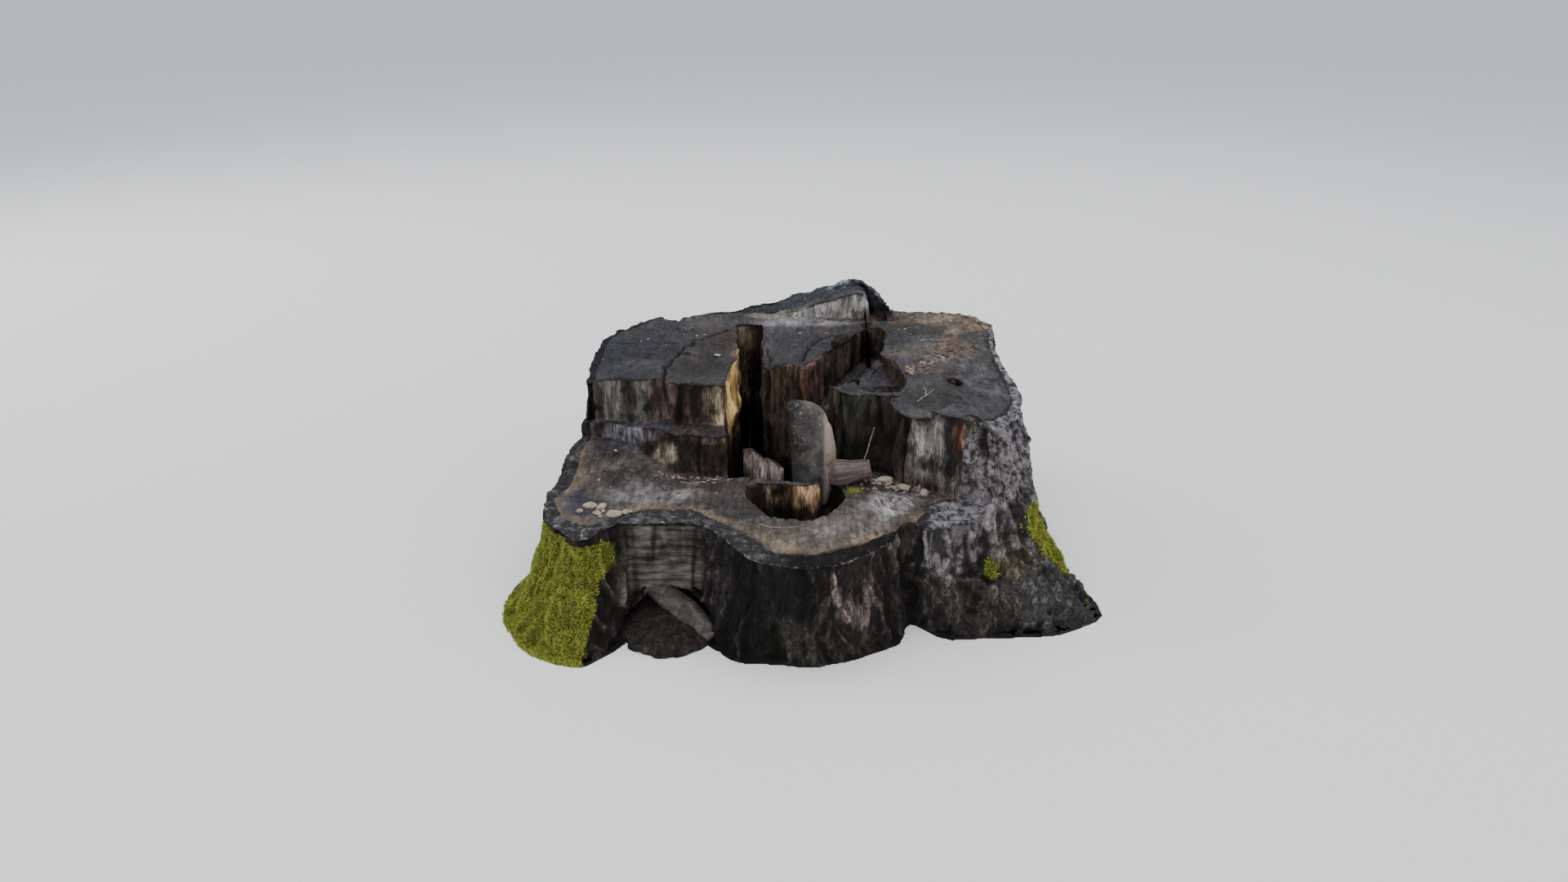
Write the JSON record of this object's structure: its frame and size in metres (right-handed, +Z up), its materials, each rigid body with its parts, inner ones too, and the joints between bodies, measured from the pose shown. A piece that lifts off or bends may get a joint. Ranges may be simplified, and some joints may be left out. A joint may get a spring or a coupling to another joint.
{
  "type": "tree stump",
  "caption": "Wide old tree stump, sawn off low in steps and rotted hollow in the middle, with spreading roots and a field stone stood up in the hollow.",
  "frame": {"origin": "on the ground, under the middle of the stump's width and depth", "axes": "+X to the right along its widest reach, +Y away from the low front step, +Z up"},
  "size_m": [0.993, 0.8814, 0.3883],
  "materials": {
    "weathered_wood": "damp, weathered",
    "grey_stone": "matt",
    "billet_wood": "matt",
    "chip_wood": "matt"
  },
  "bodies": {
    "root": {"stump": "weathered_wood", "upright_stone": "grey_stone", "billet": "billet_wood", "chip_01": "chip_wood", "chip_02": "chip_wood", "chip_03": "chip_wood", "chip_04": "chip_wood", "chip_05": "chip_wood", "chip_06": "chip_wood", "chip_07": "chip_wood", "chip_08": "chip_wood"}
  },
  "joints": []
}
